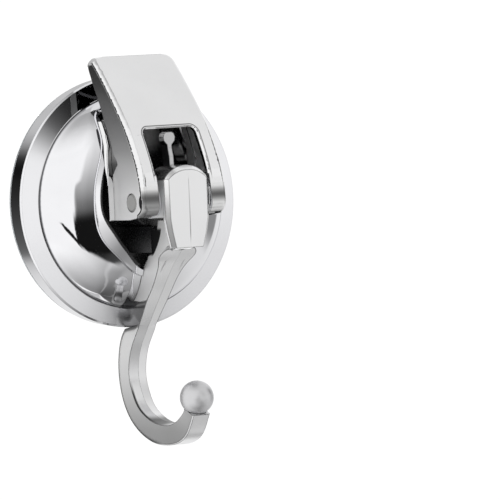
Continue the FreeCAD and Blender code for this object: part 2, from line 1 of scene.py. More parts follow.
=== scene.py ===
import bpy, bmesh, math
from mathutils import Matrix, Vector


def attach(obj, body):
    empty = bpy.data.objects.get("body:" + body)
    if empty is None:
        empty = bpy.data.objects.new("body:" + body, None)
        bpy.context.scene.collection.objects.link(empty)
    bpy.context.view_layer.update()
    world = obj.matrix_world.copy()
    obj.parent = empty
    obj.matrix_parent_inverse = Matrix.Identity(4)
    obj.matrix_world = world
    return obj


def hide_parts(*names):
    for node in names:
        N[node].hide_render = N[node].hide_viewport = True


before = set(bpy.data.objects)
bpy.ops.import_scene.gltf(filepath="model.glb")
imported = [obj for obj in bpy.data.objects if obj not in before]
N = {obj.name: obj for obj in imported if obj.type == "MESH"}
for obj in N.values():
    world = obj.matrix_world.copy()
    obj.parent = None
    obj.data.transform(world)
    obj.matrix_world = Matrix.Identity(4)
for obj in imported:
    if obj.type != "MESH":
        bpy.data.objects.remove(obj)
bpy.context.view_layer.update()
scene = bpy.context.scene
scene.view_settings.view_transform = "Standard"
scene.view_settings.look = "None"

MM = 0.001


# ------------------------------------------------------------- materials
def new_mat(name):
    m = bpy.data.materials.new(name)
    m.use_nodes = True
    nt = m.node_tree
    bsdf = next(n for n in nt.nodes if n.type == "BSDF_PRINCIPLED")
    return m, nt, bsdf


def link(nt, a, b):
    nt.links.new(a, b)


def node(nt, kind, **kw):
    n = nt.nodes.new(kind)
    for k, v in kw.items():
        setattr(n, k, v)
    return n


def coords(nt, scale=(1, 1, 1)):
    t = node(nt, "ShaderNodeTexCoord")
    mp = node(nt, "ShaderNodeMapping")
    mp.inputs["Scale"].default_value = scale
    link(nt, t.outputs["Object"], mp.inputs["Vector"])
    return mp.outputs["Vector"]


def noise(nt, vec, scale, detail=3.0, rough=0.55):
    n = node(nt, "ShaderNodeTexNoise")
    n.inputs["Scale"].default_value = scale
    n.inputs["Detail"].default_value = detail
    n.inputs["Roughness"].default_value = rough
    link(nt, vec, n.inputs["Vector"])
    return n.outputs["Fac"]


def ramp(nt, fac, stops):
    r = node(nt, "ShaderNodeValToRGB")
    els = r.color_ramp.elements
    els[0].position, els[0].color = stops[0][0], (*stops[0][1], 1)
    els[1].position, els[1].color = stops[-1][0], (*stops[-1][1], 1)
    for p, c in stops[1:-1]:
        e = els.new(p)
        e.color = (*c, 1)
    link(nt, fac, r.inputs["Fac"])
    return r.outputs["Color"]


def remap(nt, fac, lo, hi, a=0.0, b=1.0):
    r = node(nt, "ShaderNodeMapRange")
    r.inputs["From Min"].default_value = a
    r.inputs["From Max"].default_value = b
    r.inputs["To Min"].default_value = lo
    r.inputs["To Max"].default_value = hi
    link(nt, fac, r.inputs["Value"])
    return r.outputs["Result"]


def bump(nt, bsdf, height, strength, dist):
    b = node(nt, "ShaderNodeBump")
    b.inputs["Strength"].default_value = strength
    b.inputs["Distance"].default_value = dist
    link(nt, height, b.inputs["Height"])
    link(nt, b.outputs["Normal"], bsdf.inputs["Normal"])


def math_node(nt, op, a, b=None, c=None, clamp=False):
    n = node(nt, "ShaderNodeMath", operation=op, use_clamp=clamp)
    for i, v in enumerate((a, b, c)):
        if v is None:
            continue
        if isinstance(v, (int, float)):
            n.inputs[i].default_value = v
        else:
            link(nt, v, n.inputs[i])
    return n.outputs["Value"]


def mix_color(nt, fac, a, b):
    m = node(nt, "ShaderNodeMix", data_type="RGBA")
    link(nt, fac, m.inputs["Factor"])
    for sock, v in ((m.inputs[6], a), (m.inputs[7], b)):
        if isinstance(v, tuple):
            sock.default_value = (*v, 1)
        else:
            link(nt, v, sock)
    return m.outputs[2]


def edge_mask(nt, radius, lo, hi):
    """1 along the edges of the form, 0 on its faces"""
    bev = node(nt, "ShaderNodeBevel", samples=6)
    bev.inputs["Radius"].default_value = radius
    geo = node(nt, "ShaderNodeNewGeometry")
    dot = node(nt, "ShaderNodeVectorMath", operation="DOT_PRODUCT")
    link(nt, bev.outputs["Normal"], dot.inputs[0])
    link(nt, geo.outputs["Normal"], dot.inputs[1])
    away = math_node(nt, "SUBTRACT", 1.0, dot.outputs["Value"])
    return remap(nt, away, 0.0, 1.0, lo, hi), bev


def chrome(name, tone, rough=(0.03, 0.09), scratch=0.06, line=0.0003, depth=0.9, inside=None, span=(0.01, 0.12), painted_light_and_tone=None, satin=None, edge_shade_off=None):
    """polished chrome plate: faint polishing lines, small haze patches, and painted shade: a fine dark line along the
    edges
    """
    m, nt, p = new_mat(name)
    p.inputs["Metallic"].default_value = 1.0
    v = coords(nt)
    haze = noise(nt, v, 55.0, 4.0)
    fine = noise(nt, coords(nt, (900, 900, 60)), 1.0, 2.0)
    hi = tone
    lo = tuple(c * 0.95 for c in tone)
    col = ramp(nt, haze, [(0.3, lo), (0.7, hi)])
    # painted shade: faces that look backwards, and the inward faces near the sides, are darkened to the colour given in
    # inside
    if inside:
        tcn = node(nt, "ShaderNodeTexCoord")
        sn = node(nt, "ShaderNodeSeparateXYZ")
        so = node(nt, "ShaderNodeSeparateXYZ")
        link(nt, tcn.outputs["Normal"], sn.inputs["Vector"])
        link(nt, tcn.outputs["Object"], so.inputs["Vector"])
        backward = math_node(nt, "GREATER_THAN", sn.outputs["Y"], 0.25)
        sign = math_node(nt, "SIGN", so.outputs["X"])
        inward = math_node(nt, "LESS_THAN", math_node(nt, "MULTIPLY", sn.outputs["X"], sign), -0.6)
        near = math_node(nt, "GREATER_THAN", math_node(nt, "ABSOLUTE", so.outputs["X"]), inside[0])
        hollow_painted_shade = math_node(nt, "ADD", backward, math_node(nt, "MULTIPLY", inward, near), clamp=True)
        col = mix_color(nt, hollow_painted_shade, col, inside[1])
    if painted_light_and_tone:
        col = painted_light_and_tone(nt, col)
    # painted shade: a fine dark line along the edges of the form
    if line:
        mask, bev = edge_mask(nt, line, *span)
        amount = math_node(nt, "MULTIPLY", mask, depth)
        if edge_shade_off:
            amount = math_node(nt, "MULTIPLY", amount, math_node(nt, "MULTIPLY_ADD", edge_shade_off(nt), -0.85, 1.0))
        col = mix_color(nt, amount, col, (0.015, 0.015, 0.017))
    link(nt, col, p.inputs["Base Color"])
    add = math_node(nt, "MULTIPLY_ADD", fine, 0.25, haze)
    grain = remap(nt, add, rough[0], rough[1], 0.4, 0.95)
    if satin:
        grain = satin(nt, grain)
    link(nt, grain, p.inputs["Roughness"])
    bump(nt, p, fine, scratch, 0.00001)
    return m


def place(nt):
    """object space position and normal, as separate numbers (millimetres for the position)"""
    t = node(nt, "ShaderNodeTexCoord")
    so = node(nt, "ShaderNodeSeparateXYZ")
    sn = node(nt, "ShaderNodeSeparateXYZ")
    link(nt, t.outputs["Object"], so.inputs["Vector"])
    link(nt, t.outputs["Normal"], sn.inputs["Vector"])
    pos = [math_node(nt, "MULTIPLY", so.outputs[k], 1000.0) for k in "XYZ"]
    return pos, [sn.outputs[k] for k in "XYZ"]


def step(nt, v, a, b):
    """smooth step from 0 at a to 1 at b"""
    r = node(nt, "ShaderNodeMapRange", interpolation_type="SMOOTHSTEP")
    r.inputs["From Min"].default_value = min(a, b)
    r.inputs["From Max"].default_value = max(a, b)
    r.inputs["To Min"].default_value = 0.0 if a < b else 1.0
    r.inputs["To Max"].default_value = 1.0 if a < b else 0.0
    link(nt, v, r.inputs["Value"])
    return r.outputs["Result"]


def both(nt, *ms):
    out = ms[0]
    for k in ms[1:]:
        out = math_node(nt, "MULTIPLY", out, k)
    return out


def mix_value(nt, fac, a, b):
    m = node(nt, "ShaderNodeMix", data_type="FLOAT")
    link(nt, fac, m.inputs["Factor"])
    for sock, v in ((m.inputs["A"], a), (m.inputs["B"], b)):
        if isinstance(v, (int, float)):
            sock.default_value = v
        else:
            link(nt, v, sock)
    return m.outputs["Result"]


def flange_mask(nt):
    """the outer faces of the lever's two sides"""
    pos, nor = place(nt)
    out = math_node(nt, "MULTIPLY", nor[0], math_node(nt, "SIGN", pos[0]))
    ax = math_node(nt, "ABSOLUTE", pos[0])
    return both(nt, step(nt, out, 0.93, 0.985), step(nt, ax, 11.6, 12.2), step(nt, ax, 14.05, 13.9)), pos


def lip_mask(nt):
    """the lip turned outwards at the rear of the flanges, where the painted dark edge line is mostly left off"""
    pos, nor = place(nt)
    fwd = math_node(nt, "MULTIPLY_ADD", pos[1], -1.0, -6.8)
    limit = math_node(nt, "MULTIPLY_ADD", math_node(nt, "MAXIMUM", math_node(nt, "ADD", pos[2], -15.0), 0.0), -0.42, 13.9)
    return both(nt, step(nt, math_node(nt, "SUBTRACT", fwd, limit), 0.25, 0.05), step(nt, math_node(nt, "ABSOLUTE", pos[0]), 13.2, 13.4), step(nt, pos[2], 24.0, 23.4))


def arm_mask(nt):
    """the front of the lever's two arms beside the hook, below the window"""
    pos, nor = place(nt)
    return both(nt, step(nt, math_node(nt, "ABSOLUTE", pos[0]), 8.1, 8.4), step(nt, pos[2], 4.6, 4.2), step(nt, nor[1], -0.12, -0.25), step(nt, pos[1], -26.0, -27.0),
                step(nt, math_node(nt, "MULTIPLY", nor[0], math_node(nt, "SIGN", pos[0])), 0.9, 0.8)), pos


def back_mask(nt):
    """the inner faces of the flanges, beside the window"""
    pos, nor = place(nt)
    return both(nt, step(nt, math_node(nt, "MULTIPLY", nor[0], math_node(nt, "SIGN", pos[0])), -0.85, -0.95), step(nt, math_node(nt, "ABSOLUTE", pos[0]), 10.0, 10.5),
                step(nt, pos[2], 4.0, 7.0), step(nt, pos[2], 24.0, 18.0))


def flange_painted_shading(nt, col):
    # painted reflection: the outer faces of the flanges go from light at the bottom to near black at the top
    mask, pos = flange_mask(nt)
    tone = ramp(nt, remap(nt, pos[2], 0.0, 1.0, -6.0, 42.0),
                [(0.0, (0.74,) * 3), (0.17, (0.73,) * 3), (0.25, (0.60,) * 3), (0.34, (0.47,) * 3), (0.42, (0.33,) * 3), (0.50, (0.245,) * 3), (0.60, (0.168,) * 3),
                 (0.70, (0.125,) * 3), (0.78, (0.08,) * 3), (0.92, (0.04,) * 3), (1.0, (0.014,) * 3)])
    col = mix_color(nt, mask, col, tone)
    pos, nor = place(nt)
    # shaded panel behind the step of the flange
    shade = both(nt, step(nt, math_node(nt, "ABSOLUTE", nor[0]), 0.9, 0.97), step(nt, math_node(nt, "ABSOLUTE", pos[0]), 12.8, 12.7), step(nt, pos[2], 4.0, 5.0), step(nt, pos[2], 23.6, 23.2),
                 step(nt, math_node(nt, "MULTIPLY", nor[0], math_node(nt, "SIGN", pos[0])), 0.0, 0.5))
    shadow = ramp(nt, remap(nt, pos[2], 0.0, 1.0, 5.0, 23.0), [(0.0, (0.03,) * 3), (0.22, (0.07,) * 3), (0.31, (0.11,) * 3), (0.39, (0.24,) * 3), (0.48, (0.31,) * 3), (1.0, (0.30,) * 3)])
    col = mix_color(nt, shade, col, shadow)
    # painted reflection on the feet of the arms, in light and dark bands by height
    arm, _ = arm_mask(nt)
    down = remap(nt, pos[2], 0.0, 1.0, -4.5, 4.5)
    feet_painted_reflection = [[((z + 4.5) / 9.0, (t,) * 3) for z, t in rows] for rows in (
        ((-4.4, 0.15), (-3.85, 0.19), (-3.25, 0.29), (-2.75, 0.40), (-2.25, 0.45), (-1.75, 0.40), (-1.25, 0.36), (-0.75, 0.32), (-0.25, 0.24), (0.25, 0.17), (0.75, 0.135), (1.25, 0.135), (1.75, 0.21), (2.25, 0.34), (2.75, 0.54), (3.5, 0.88), (4.4, 0.93)),
        ((-4.4, 0.5), (-3.85, 0.6), (-3.25, 0.75), (-2.75, 0.93), (-2.25, 0.93), (-1.25, 0.90), (-0.75, 0.68), (-0.25, 0.47), (0.25, 0.28), (0.75, 0.16), (1.25, 0.135), (1.75, 0.21), (2.25, 0.34), (2.75, 0.54), (3.5, 0.88), (4.4, 0.93)))]
    bands_painted_reflection = mix_color(nt, step(nt, pos[0], -0.1, 0.1), ramp(nt, down, feet_painted_reflection[0]), ramp(nt, down, feet_painted_reflection[1]))
    col = mix_color(nt, arm, col, bands_painted_reflection)
    ax = math_node(nt, "ABSOLUTE", pos[0])
    col = mix_color(nt, back_mask(nt), col, (0.8, 0.8, 0.805))
    dark = (0.02, 0.02, 0.021)
    # painted shade: a dark line in the turn from flange to plate
    out = math_node(nt, "MULTIPLY", nor[0], math_node(nt, "SIGN", pos[0]))
    turn = both(nt, step(nt, out, 0.84, 0.88), step(nt, out, 0.965, 0.94), step(nt, ax, 11.6, 12.0), step(nt, nor[1], 0.05, -0.1))
    fwd = math_node(nt, "MULTIPLY_ADD", pos[1], -1.0, -6.8)
    limit = math_node(nt, "MULTIPLY_ADD", math_node(nt, "MAXIMUM", math_node(nt, "ADD", pos[2], -8.0), 0.0), -0.34, 15.1)
    turn = both(nt, turn, step(nt, math_node(nt, "SUBTRACT", fwd, limit), 0.0, 0.6))
    col = mix_color(nt, turn, col, dark)
    # and painted shade in a dark ring round the pin
    df = math_node(nt, "ADD", pos[1], 37.0)
    rp = math_node(nt, "SQRT", math_node(nt, "ADD", both(nt, df, df), both(nt, pos[2], pos[2])))
    pin_ring_painted_shade = both(nt, step(nt, rp, 2.98, 2.82), step(nt, out, 0.9, 0.95))
    col = mix_color(nt, pin_ring_painted_shade, col, dark)
    # painted shade: a dark line that frames the window, just outside its bevel
    qx = math_node(nt, "ADD", ax, -6.9)
    qz = math_node(nt, "ADD", pos[2], -18.2)
    px, pz = math_node(nt, "MAXIMUM", qx, 0.0), math_node(nt, "MAXIMUM", qz, 0.0)
    far = math_node(nt, "SQRT", math_node(nt, "ADD", both(nt, px, px), both(nt, pz, pz)))
    near = math_node(nt, "MINIMUM", math_node(nt, "MAXIMUM", qx, qz), 0.0)
    d = math_node(nt, "ADD", math_node(nt, "ADD", far, near), -1.6)
    off = math_node(nt, "ABSOLUTE", math_node(nt, "ADD", d, -0.82))
    window_line_painted_shade = both(nt, step(nt, off, 0.20, 0.08), step(nt, nor[1], -0.4, -0.6), step(nt, pos[2], 5.0, 8.0), 0.8)
    return mix_color(nt, window_line_painted_shade, col, dark)


def flange_satin(nt, grain):
    mask, pos = flange_mask(nt)
    arm, _ = arm_mask(nt)
    grain = mix_value(nt, back_mask(nt), grain, 0.6)
    return mix_value(nt, arm, mix_value(nt, mask, grain, 0.55), 0.3)


def web_mask(nt):
    """the flat sides of the hook's web and the finger above it"""
    pos, nor = place(nt)
    return both(nt, step(nt, math_node(nt, "ABSOLUTE", nor[0]), 0.9, 0.97), step(nt, math_node(nt, "ABSOLUTE", pos[0]), 3.6, 3.3),
                step(nt, pos[2], -31.0, -29.0))


def rim_satin(nt, grain):
    """the rim is not polished as sharply as the dome"""
    pos, nor = place(nt)
    r2 = math_node(nt, "ADD", both(nt, pos[0], pos[0]), both(nt, pos[2], pos[2]))
    return mix_value(nt, both(nt, step(nt, math_node(nt, "SQRT", r2), 29.5, 29.8), step(nt, nor[1], -0.6, -0.9), step(nt, pos[2], 0.0, -14.0)), grain, 0.22)


def ball_mask(nt):
    pos, nor = place(nt)
    dy = math_node(nt, "ADD", pos[1], 36.4)
    dz = math_node(nt, "ADD", pos[2], 54.0)
    d2 = math_node(nt, "ADD", both(nt, pos[0], pos[0]), math_node(nt, "ADD", both(nt, dy, dy), both(nt, dz, dz)))
    return step(nt, math_node(nt, "SQRT", d2), 4.95, 4.75)


def hook_tone_and_painted_shade(nt, col):
    pos, nor = place(nt)
    ax, side = math_node(nt, "ABSOLUTE", pos[0]), step(nt, math_node(nt, "ABSOLUTE", nor[0]), 0.90, 0.97)
    # painted shading on the sides of the bow, darker towards its end
    side_painted_shade = ramp(nt, remap(nt, pos[2], 0.0, 1.0, -68.0, -8.0),
                [(0.0, (0.42,) * 3), (0.08, (0.47,) * 3), (0.18, (0.64,) * 3), (0.30, (0.86,) * 3), (0.42, (0.97,) * 3), (0.52, (0.97,) * 3), (0.62, (0.80,) * 3), (0.75, (0.78,) * 3), (0.85, (0.90,) * 3), (1.0, (0.92,) * 3)])
    col = mix_color(nt, side, col, side_painted_shade)
    # painted shadow on the boss of the web, with a curved border
    fwd = math_node(nt, "MULTIPLY_ADD", pos[1], -1.0, -6.8)
    dz = math_node(nt, "ADD", pos[2], 5.0)
    border = math_node(nt, "MULTIPLY_ADD", both(nt, dz, dz), -0.052, 21.1)
    boss_painted_shadow = both(nt, step(nt, math_node(nt, "SUBTRACT", fwd, border), 0.15, -0.15), side, step(nt, ax, 3.5, 3.3), step(nt, pos[2], -15.4, -14.4), step(nt, pos[2], -7.2, -8.2))
    col = mix_color(nt, boss_painted_shadow, col, (0.03, 0.03, 0.031))
    # sides of the finger
    finger = both(nt, side, step(nt, ax, 1.2, 1.0), step(nt, pos[2], 5.0, 5.6))
    col = mix_color(nt, finger, col, (0.05, 0.05, 0.052))
    tip = both(nt, step(nt, ax, 2.3, 2.1), step(nt, nor[1], -0.3, -0.5), step(nt, pos[2], 8.6, 9.4))
    col = mix_color(nt, tip, col, (0.58, 0.58, 0.585))
    # painted shade in a dark line along the inner edge of the bow, on its left side, and in its trough
    inner = both(nt, step(nt, math_node(nt, "ABSOLUTE", nor[0]), 0.8, 0.6), step(nt, nor[1], 0.9, 0.7))
    seam_painted_shade = both(nt, inner, step(nt, pos[0], -2.1, -2.5), step(nt, pos[2], -49.0, -54.0), step(nt, fwd, 14.0, 10.0), step(nt, fwd, -2.0, -1.0), 0.95)
    col = mix_color(nt, seam_painted_shade, col, (0.02, 0.02, 0.02))
    trough_painted_shade = both(nt, inner, step(nt, pos[2], -59.0, -60.6), step(nt, nor[2], 0.2, 0.5), step(nt, fwd, 19.0, 14.0), 0.9)
    col = mix_color(nt, trough_painted_shade, col, (0.08, 0.08, 0.08))
    # painted shade: a dark outline along the outer edge of the bow
    bev, bn = node(nt, "ShaderNodeBevel", samples=6), node(nt, "ShaderNodeSeparateXYZ")
    bev.inputs["Radius"].default_value = 0.0015
    link(nt, bev.outputs["Normal"], bn.inputs["Vector"])
    oy, oz = math_node(nt, "ADD", pos[1], 18.8), math_node(nt, "ADD", pos[2], 46.0)
    dist = math_node(nt, "SQRT", math_node(nt, "ADD", both(nt, oy, oy), both(nt, oz, oz)))
    tilt = math_node(nt, "DIVIDE", math_node(nt, "ADD", both(nt, bn.outputs["Y"], oy), both(nt, bn.outputs["Z"], oz)), dist)
    outline_painted_shade = both(nt, step(nt, tilt, 0.03, 0.09), step(nt, math_node(nt, "ABSOLUTE", nor[0]), 0.3, 0.5), step(nt, pos[2], -31.0, -34.0), step(nt, fwd, 16.0, 10.0), 0.85)
    col = mix_color(nt, outline_painted_shade, col, (0.03, 0.03, 0.03))
    # painted shading on the slanted borders of the head, darker towards the bottom
    slant_painted_shade = both(nt, step(nt, math_node(nt, "MULTIPLY", nor[0], math_node(nt, "SIGN", pos[0])), 0.35, 0.5), step(nt, math_node(nt, "ABSOLUTE", nor[0]), 0.9, 0.84), step(nt, nor[1], -0.3, -0.45), step(nt, ax, 3.2, 3.8), step(nt, pos[2], -13.5, -12.5))
    along = ramp(nt, remap(nt, pos[2], 0.0, 1.0, -13.0, 7.0), [(0.0, (0.30,) * 3), (0.3, (0.36,) * 3), (0.55, (0.52,) * 3), (0.75, (0.80,) * 3), (1.0, (0.93,) * 3)])
    col = mix_color(nt, slant_painted_shade, col, along)
    # painted shade: a dark line along the crease of the head
    crease_painted_shade = both(nt, step(nt, ax, 0.22, 0.08), step(nt, nor[1], -0.97, -0.99), step(nt, pos[2], 6.6, 5.2), step(nt, pos[1], -37.6, -37.8))
    crease_painted_shade = both(nt, crease_painted_shade, remap(nt, pos[2], 0.75, 0.28, -11.0, 4.0))
    return mix_color(nt, ball_mask(nt), mix_color(nt, crease_painted_shade, col, (0.12, 0.12, 0.125)), (0.70, 0.70, 0.71))


def hook_satin(nt, grain):
    pos, nor = place(nt)
    bow = step(nt, pos[2], -30.0, -38.0)
    grain = mix_value(nt, bow, grain, 0.36)
    head = both(nt, step(nt, math_node(nt, "ABSOLUTE", nor[0]), 0.9, 0.97), step(nt, math_node(nt, "ABSOLUTE", pos[0]), 5.0, 5.3))
    grain = mix_value(nt, head, grain, 0.5)
    return mix_value(nt, ball_mask(nt), mix_value(nt, web_mask(nt), grain, 0.62), 0.42)


def cover_painted_shade(nt, col):
    """painted shade in the fold where the dome meets the rim"""
    pos, nor = place(nt)
    r = math_node(nt, "SQRT", math_node(nt, "ADD", both(nt, pos[0], pos[0]), both(nt, pos[2], pos[2])))
    off = math_node(nt, "ABSOLUTE", math_node(nt, "SUBTRACT", r, FOLD))
    off = math_node(nt, "MULTIPLY", off, math_node(nt, "MULTIPLY_ADD", step(nt, pos[0], 0.0, 8.0), -0.5, 1.0))
    # painted shade where the hook shades the foot of the dome and the rim below
    upper = both(nt, step(nt, pos[0], -10.6, -7.6), step(nt, pos[0], 9.0, 4.0))
    lower = both(nt, step(nt, pos[0], -12.0, 3.0), step(nt, pos[0], 9.0, 4.0), 1.25)
    across = mix_value(nt, step(nt, r, 29.5, 29.9), upper, lower)
    amount = ramp(nt, remap(nt, pos[2], 0.0, 1.0, -36.0, -20.0), [(0.0, (0.62,) * 3), (0.36, (0.60,) * 3), (0.46, (0.80,) * 3), (0.62, (0.74,) * 3), (0.74, (0.42,) * 3), (1.0, (0.0,) * 3)])
    near = step(nt, pos[0], -8.0, 1.0)
    col = mix_color(nt, both(nt, across, amount, step(nt, nor[1], 0.1, -0.1)), col, mix_color(nt, near, (0.08, 0.08, 0.08), (0.02, 0.02, 0.02)))
    return mix_color(nt, math_node(nt, "MULTIPLY", step(nt, off, 0.20, 0.07), 0.85), col, (0.03, 0.03, 0.032))


def frame_painted_light(nt, col):
    """black plastic, with painted light in two places: a pale patch and light streaks"""
    pos, nor = place(nt)
    def spot(cx, cz, r, soft, sx=1.0, sz=1.0):
        dx = math_node(nt, "MULTIPLY", math_node(nt, "ADD", pos[0], -cx), sx)
        dz = math_node(nt, "MULTIPLY", math_node(nt, "ADD", pos[2], -cz), sz)
        d = math_node(nt, "SQRT", math_node(nt, "ADD", both(nt, dx, dx), both(nt, dz, dz)))
        return step(nt, d, r + soft, r - soft)

    # painted light: a pale patch on the front of the frame
    pale = both(nt, spot(6.6, 18.0, 3.6, 2.6), step(nt, nor[1], -0.9, -0.98))
    col = mix_color(nt, pale, col, (0.5, 0.5, 0.505))
    # painted light: light streaks on the frame
    low = both(nt, math_node(nt, "MAXIMUM", spot(11.9, 13.3, 0.8, 0.4, 1.3, 0.45), spot(13.2, 11.3, 0.7, 0.3, 1.4, 0.8)), step(nt, pos[1], -12.0, -13.0))
    col = mix_color(nt, low, col, (0.8, 0.8, 0.81))
    wall = both(nt, step(nt, nor[0], -0.9, -0.97), step(nt, math_node(nt, "ABSOLUTE", math_node(nt, "ADD", pos[0], 3.2)), 0.5, 0.3), step(nt, pos[2], -8.0, -15.5))
    return mix_color(nt, wall, col, (0.075, 0.075, 0.077))


def plastic(name, tone, rough, spread=0.08, grain=900.0, depth=0.00002, painted_light_and_tone=None, **extra):
    m, nt, p = new_mat(name)
    v = coords(nt)
    cloud = noise(nt, v, 120.0, 4.0)
    pores = noise(nt, v, grain, 3.0)
    col = ramp(nt, cloud, [(0.3, tuple(c * (1 - spread) for c in tone)), (0.7, tuple(min(1, c * (1 + spread)) for c in tone))])
    if painted_light_and_tone:
        col = painted_light_and_tone(nt, col)
    link(nt, col, p.inputs["Base Color"])
    link(nt, remap(nt, pores, rough[0], rough[1], 0.3, 0.7), p.inputs["Roughness"])
    bump(nt, p, pores, 0.35, depth)
    for k, val in extra.items():
        p.inputs[k.replace("_", " ")].default_value = val
    return m


FOLD = 29.67
M = {
    "cover": chrome("chrome_cover", (0.925, 0.925, 0.945), (0.02, 0.06), painted_light_and_tone=cover_painted_shade, satin=rim_satin),
    # the lever's hollow faces carry painted shade (inside)
    "lever": chrome("chrome_lever", (0.93, 0.93, 0.935), inside=(0.0118, (0.05, 0.05, 0.052)), painted_light_and_tone=flange_painted_shading, satin=flange_satin, edge_shade_off=lip_mask),
    "hook": chrome("chrome_hook", (0.93, 0.93, 0.935), (0.20, 0.26), 0.1, line=0.00035, depth=0.75, span=(0.0012, 0.02), painted_light_and_tone=hook_tone_and_painted_shade, satin=hook_satin),
    "frame": plastic("black_plastic", (0.012, 0.012, 0.013), (0.18, 0.34), painted_light_and_tone=frame_painted_light),
    "pad": plastic("clear_rubber", (0.62, 0.65, 0.67), (0.22, 0.4), depth=0.000004, Transmission_Weight=0.55, IOR=1.45),
    "stem": plastic("white_nylon", (0.78, 0.78, 0.76), (0.35, 0.5)),
    "pin": chrome("pin_steel", (0.36, 0.36, 0.35), (0.3, 0.45), 0.3),
    "spacer": plastic("spacer_nylon", (0.72, 0.73, 0.75), (0.25, 0.4), Transmission_Weight=0.35),
    "screw": chrome("screw_steel", (0.5, 0.5, 0.52), (0.2, 0.35), 0.3),
}
WEAR = {"inner_frame": "frame", "suction_pad": "pad", "pull_stem": "stem", "pivot_pin": "pin", "spacer_left": "spacer", "spacer_right": "spacer",
        "lever": "lever", "hook": "hook", "cover": "cover", "hook_screw": "screw"}
for name, key in WEAR.items():
    o = N[name]
    for s in o.material_slots:
        s.material = M[key]

# ------------------------------------------------------- refined surfaces
def merged(name):
    """the node's own surface as a plain mesh, its points joined"""
    src = N[name].data
    me = bpy.data.meshes.new(name + "_fine")
    me.from_pydata([tuple(v.co) for v in src.vertices], [], [tuple(p.vertices) for p in src.polygons])
    bm = bmesh.new()
    bm.from_mesh(me)
    bmesh.ops.remove_doubles(bm, verts=bm.verts, dist=2e-6)
    bmesh.ops.dissolve_degenerate(bm, edges=bm.edges, dist=1e-6)
    return me, bm


def finish_piece(name, node_names, me, bm, body, mat, angle=28.0, weighted=True):
    bmesh.ops.recalc_face_normals(bm, faces=bm.faces)
    bm.to_mesh(me)
    bm.free()
    for p in me.polygons:
        p.use_smooth = True
    me.set_sharp_from_angle(angle=math.radians(angle))
    o = bpy.data.objects.new(name, me)
    scene.collection.objects.link(o)
    me.materials.append(mat)
    if weighted:
        w = o.modifiers.new("weighted", "WEIGHTED_NORMAL")
        w.keep_sharp = True
    if node_names:
        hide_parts(*node_names)
    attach(o, body)
    return o


def table(x, pts):
    if x <= pts[0][0]:
        return pts[0][1]
    for (a, b), (c, d) in zip(pts[:-1], pts[1:]):
        if x <= c:
            return b + (d - b) * (x - a) / (c - a)
    return pts[-1][1]


# lever: its flanges lean in a little towards the back, more so at the top, and the window has a bevelled frame
FRONT = [(-4.2, 26.8), (-2.7, 28.8), (-0.4, 29.4), (3.4, 29.1), (8.6, 28.0), (13.9, 25.8), (19.8, 22.7), (24.9, 19.1), (32.3, 13.1), (36.6, 9.3), (40.3, 5.7)]


def spline(pts):
    """natural cubic through the points, as a function"""
    n = len(pts)
    x, y = [p[0] for p in pts], [p[1] for p in pts]
    h = [x[i + 1] - x[i] for i in range(n - 1)]
    al = [0.0] + [3 * (y[i + 1] - y[i]) / h[i] - 3 * (y[i] - y[i - 1]) / h[i - 1] for i in range(1, n - 1)]
    l, mu, z = [1.0] + [0.0] * (n - 1), [0.0] * n, [0.0] * n
    for i in range(1, n - 1):
        l[i] = 2 * (x[i + 1] - x[i - 1]) - h[i - 1] * mu[i - 1]
        mu[i] = h[i] / l[i]
        z[i] = (al[i] - h[i - 1] * z[i - 1]) / l[i]
    c = [0.0] * n
    for j in range(n - 2, -1, -1):
        c[j] = z[j] - mu[j] * c[j + 1]

    def f(t):
        j = max(0, min(n - 2, sum(1 for v in x[1:-1] if v <= t)))
        b = (y[j + 1] - y[j]) / h[j] - h[j] * (c[j + 1] + 2 * c[j]) / 3
        d = (c[j + 1] - c[j]) / (3 * h[j])
        u = t - x[j]
        return y[j] + b * u + c[j] * u * u + d * u ** 3
    return f


front_at = spline([p for p in FRONT if p[0] > -1.0])
REAR = [(4.1, 13.5), (7.8, 14.0), (10.7, 16.6), (13.2, 16.2), (17.3, 14.9), (21.2, 13.0), (25.2, 10.9), (29.2, 8.5), (32.0, 6.5), (34.5, 5.0), (36.9, 3.9), (38.6, 3.7)]
rear_at = spline(REAR[2:])
me, bm = merged("lever")
cuts = [((0, 0, (-0.4 + 1.2 * k) * MM), (0, 0, 1)) for k in range(13)] + [((0, 0, (16.5 + 2.0 * k) * MM), (0, 0, 1)) for k in range(12)] + [((0, 0, -2.5 * MM), (0, 0, 1))]
for co, no in cuts:
    bmesh.ops.bisect_plane(bm, geom=bm.verts[:] + bm.edges[:] + bm.faces[:], plane_co=co, plane_no=no, dist=1e-6)
